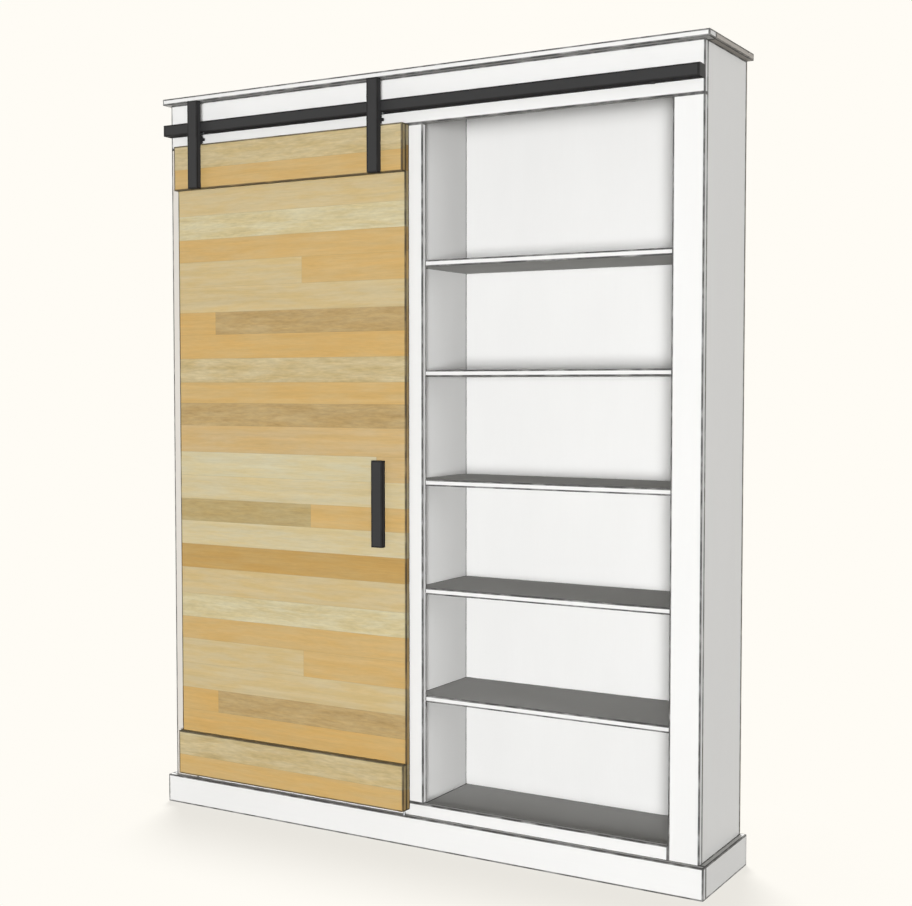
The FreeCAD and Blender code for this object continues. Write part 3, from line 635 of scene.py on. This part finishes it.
def nylon():
    material, bench, shader, place = new_finish("wheel_nylon")
    cloud = bench.noise(place, **NYLON_CLOUD)
    coat(
        bench, shader,
        Base_Color=bench.dim(light(NYLON), bench.vary((cloud, NYLON_CLOUDS))),
        Roughness=bench.about(cloud, *NYLON_ROUGHNESS),
        Normal=bench.bump(bench.noise(place, **NYLON_SKIN), NYLON_RELIEF),
    )
    return material


def zinc():
    """Zinc plate: bright, with a faint bloom and fine drawing marks."""
    material, bench, shader, place = new_finish("zinc_plate")
    bloom = bench.noise(place, **ZINC_BLOOM)
    coat(
        bench, shader,
        Base_Color=bench.dim(light(ZINC), bench.vary((bloom, ZINC_BLOOMS))),
        Metallic=1.0,
        Roughness=bench.about(bloom, *ZINC_ROUGHNESS),
        Normal=bench.bump(bench.noise(place, **ZINC_MARKS), ZINC_RELIEF),
    )
    return material


def finish_of(node, slot, shared):
    """The finish of a piece, from its name and the slot that the record gives it."""
    if node in STEEL_BARS:
        return powder_coat(node)
    if slot in shared:
        return shared[slot]
    if node == "door_panel":
        return door_wood(node, PANEL_TOP, PANEL_STAVES)
    if slot == "door_wood":
        return door_wood(node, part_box(node)[1].z, TRIM_STAVES)
    if slot == "greige_oak":
        return limed_oak(node)
    if node.endswith("back_panel"):
        return back_panel_finish(node)
    return white_paint(node)


def dress():
    """Give every piece its finish."""
    shared = {
        "dowel_wood": beech(),
        "black_steel": powder_coat(),
        "black_plastic": dark_coat("black_plastic", **BLACK_PLASTIC),
        "wheel_nylon": nylon(),
        "zinc_steel": zinc(),
    }
    for part in frame["record"]["subparts"]:
        material = finish_of(part["node"], part["material_slot"], shared)
        for slot in frame["nodes"][part["node"]].material_slots:
            slot.material = material


def seen_directly(bench):
    """1 for rays from the camera, from gloss and through glass, and 0 for those that light the scene."""
    path = bench.add("ShaderNodeLightPath").outputs
    mirrored = bench.calc("MAXIMUM", path["Is Glossy Ray"], path["Is Transmission Ray"])
    return bench.calc("MAXIMUM", path["Is Camera Ray"], mirrored)


def surroundings():
    """A pale backdrop to look at, and a dimmer even light."""
    world = bpy.data.worlds.new("studio")
    bpy.context.scene.world = world
    world.use_nodes = True
    bench = Bench(world.node_tree)
    backdrop = world.node_tree.nodes["Background"]
    bench.feed(backdrop.inputs["Color"], light(BACKGROUND))
    ambient = bench.add("ShaderNodeBackground", {"Color": light(BACKGROUND), "Strength": AMBIENT})
    mixed = bench.mix_shaders(seen_directly(bench), ambient.outputs[0], backdrop.outputs[0])
    bench.feed(world.node_tree.nodes["World Output"].inputs["Surface"], mixed)


def pale_floor():
    """The backdrop's colour, mixed near the cabinet's base with a dimmer lit floor that takes its shadow:
    painted shade around the base.
    """
    material = bpy.data.materials.new("pale_floor")
    material.use_nodes = True
    material.node_tree.nodes.clear()
    bench = Bench(material.node_tree)
    place = bench.add("ShaderNodeTexCoord").outputs["Object"]
    low, high = cad_box
    half = (max(-low.x, high.x), max(-low.y, high.y), 0.0)
    past_base = bench.calc3("SUBTRACT", bench.calc3("ABSOLUTE", place), half)
    outside = bench.calc3("MAXIMUM", past_base, (0.0, 0.0, 0.0))
    distance = bench.add("ShaderNodeVectorMath", {0: outside}, operation="LENGTH").outputs["Value"]
    # Painted shade: near the base the floor is a mix that is darker than the backdrop, also where no
    # shadow falls
    painted_shade = bench.fade(distance, 0.0, FLOOR_SHADE_REACH, FLOOR_SHADE, 0.0)
    lit = bench.add("ShaderNodeBsdfDiffuse", {"Color": light(FLOOR_PALE)}).outputs[0]
    glow = bench.add("ShaderNodeEmission", {"Color": light(BACKGROUND)}).outputs[0]
    mixed = bench.mix_shaders(seen_directly(bench), lit, bench.mix_shaders(painted_shade, glow, lit))
    bench.feed(bench.add("ShaderNodeOutputMaterial").inputs["Surface"], mixed)
    return material


def floor():
    """A pale floor that melts into the backdrop, and keeps the cabinet's shadow near its base, with
    painted shade there as well.
    """
    bpy.ops.object.select_all(action="DESELECT")
    bpy.ops.mesh.primitive_plane_add(size=FLOOR_SIZE)
    ground = bpy.context.object
    ground.name = "floor"
    ground.data.materials.append(pale_floor())


def hold_light(lamp, distance):
    """Keep a lamp's light as strong everywhere as it is at a distance, so that the whites are even.

    Light that has bounced once is dimmed, so that the white bays keep their shading.
    """
    lamp.use_nodes = True
    bench = Bench(lamp.node_tree)
    depth = bench.add("ShaderNodeLightPath").outputs["Ray Depth"]
    level = 1.0 / distance**2
    strength = bench.fade(depth, STRAIGHT_DEPTH, BOUNCE_DEPTH, level, level * BOUNCE_SHARE)
    even = bench.add("ShaderNodeLightFalloff", {"Strength": strength}).outputs["Constant"]
    bench.feed(lamp.node_tree.nodes["Emission"].inputs["Strength"], even)


def softbox(name, turn, rise, distance, size, power):
    """A round soft lamp that faces the cabinet."""
    turn, rise = math.radians(turn), math.radians(rise)
    aside = Vector((math.sin(turn) * math.cos(rise), -math.cos(turn) * math.cos(rise), math.sin(rise)))
    bpy.ops.object.light_add(type="AREA", location=Vector(LAMP_TARGET) + aside * distance)
    lamp = bpy.context.object
    lamp.name = name
    lamp.rotation_euler = (-aside).to_track_quat("-Z", "Y").to_euler()
    lamp.data.shape = "DISK"
    lamp.data.size = size
    lamp.data.energy = power
    hold_light(lamp.data, distance)


def camera():
    rotation = (math.pi / 2 + CAMERA_TIP, 0.0, CAMERA_TURN)
    bpy.ops.object.camera_add(location=CAMERA_PLACE, rotation=rotation)
    eye = bpy.context.object
    eye.name = "picture_camera"
    eye.data.sensor_fit = "HORIZONTAL"
    eye.data.sensor_width = SENSOR_WIDTH
    eye.data.lens = CAMERA_LENS
    bpy.context.scene.camera = eye


dress()
surroundings()
floor()
for lamp_name, lamp in LAMPS.items():
    softbox(lamp_name, **lamp)
camera()
bpy.context.scene.view_settings.view_transform = "Standard"
